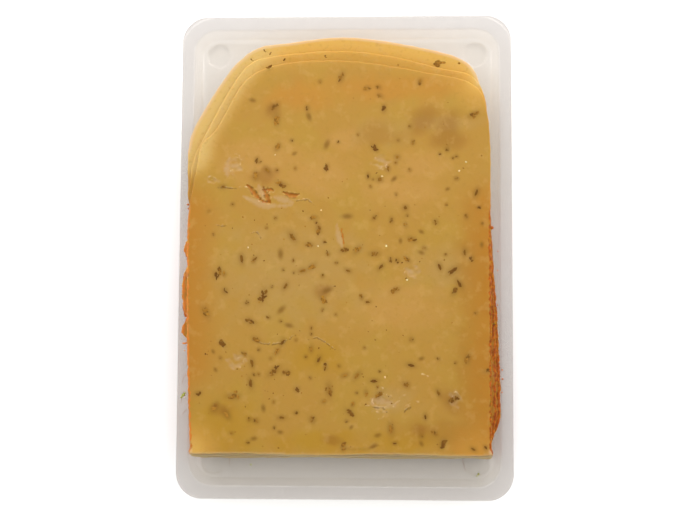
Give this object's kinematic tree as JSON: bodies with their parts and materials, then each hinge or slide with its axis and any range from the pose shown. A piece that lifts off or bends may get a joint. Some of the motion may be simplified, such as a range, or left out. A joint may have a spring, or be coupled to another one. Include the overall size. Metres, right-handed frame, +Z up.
{
  "type": "pack of sliced cheese",
  "caption": "Stack of fanned herb cheese slices with an orange rind, lying in an open clear plastic tray with a flat flange and round feet.",
  "frame": {"origin": "centre of the bounding box's base, on the plane that the tray's four feet stand on", "axes": "+Z up, +Y towards the far end where the slices fan out, +X to the right of the pack seen from above"},
  "size_m": [0.129, 0.188, 0.0133],
  "materials": {
    "clear_plastic": "clear thermoformed plastic sheet, smooth and glossy",
    "cheese": "semi-hard herb cheese, waxy and slightly moist, with dark green herb flakes and an orange rind"
  },
  "bodies": {
    "root": {"tray": "clear_plastic", "slice_1": "cheese", "slice_2": "cheese", "slice_3": "cheese", "slice_4": "cheese", "slice_5": "cheese", "slice_6": "cheese"}
  },
  "joints": []
}
